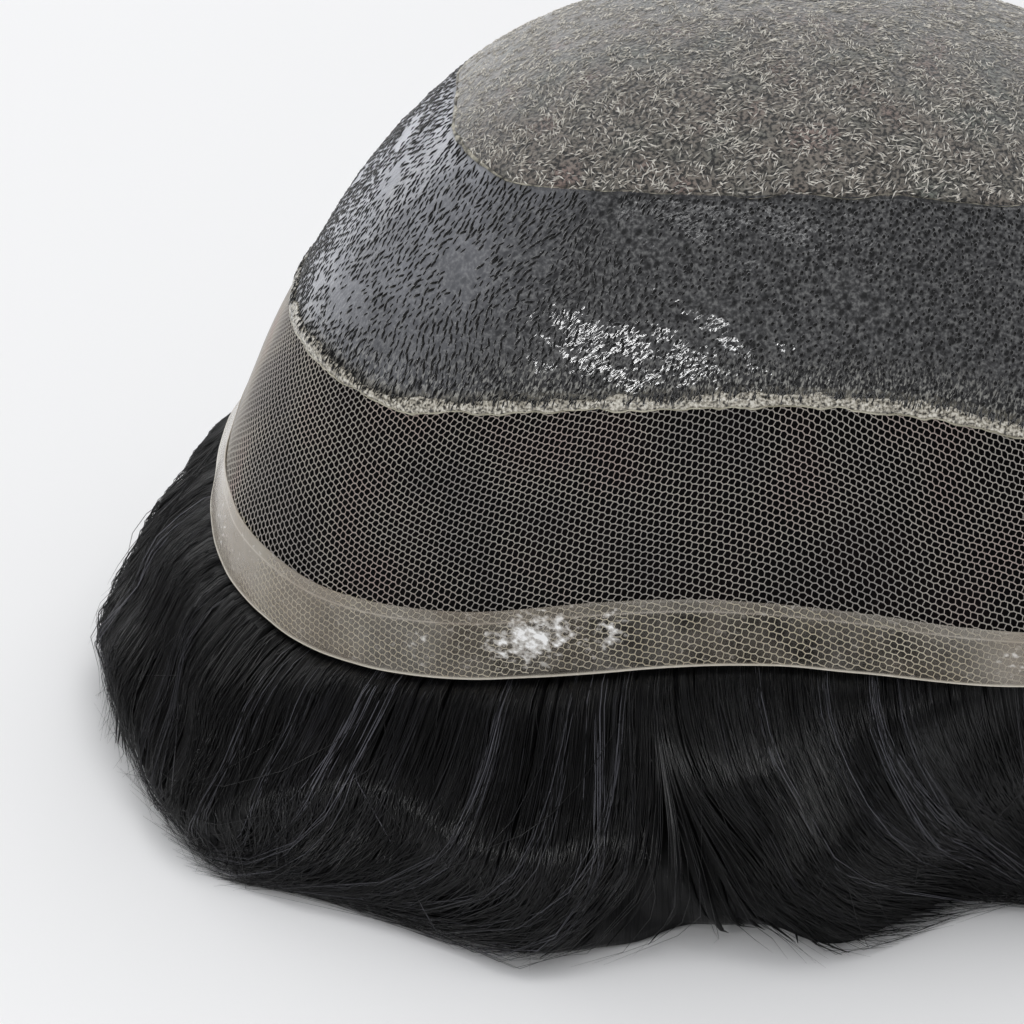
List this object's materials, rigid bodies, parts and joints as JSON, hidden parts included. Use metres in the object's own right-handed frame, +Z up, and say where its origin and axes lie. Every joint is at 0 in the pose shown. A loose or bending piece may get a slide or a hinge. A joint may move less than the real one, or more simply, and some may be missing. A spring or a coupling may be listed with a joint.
{
  "type": "toupee hairpiece",
  "caption": "Men's toupee turned inside out: a dome of fine net, coated gauze and lace with a clear edge band, standing on the black hair that falls from under its rim.",
  "frame": {"origin": "under the middle of the whole, on the surface that the hair lies on", "axes": "+X to the right of the front view, along the base's long side; +Z up through the crown; -Y is the front that the picture shows"},
  "size_m": [0.2052, 0.1588, 0.1083],
  "materials": {
    "monofilament": "fine beige-grey monofilament net with short pale hair ends",
    "coated_gauze": "dark gauze under a clear glossy coating, with knots of black hair",
    "cream_edge": "cream cured polymer and stitching",
    "lace": "grey-beige hexagonal net",
    "clear_band": "clear glossy polymer over beige net",
    "black_hair": "near black human hair with a soft sheen"
  },
  "bodies": {
    "root": {"mono_crown": "monofilament", "crown_seam": "cream_edge", "coated_ring": "coated_gauze", "ring_bead": "cream_edge", "lace_ring": "lace", "edge_band": "clear_band", "inner_hair": "black_hair", "hair_front": "black_hair", "hair_left": "black_hair", "hair_back": "black_hair", "hair_right": "black_hair"}
  },
  "joints": []
}
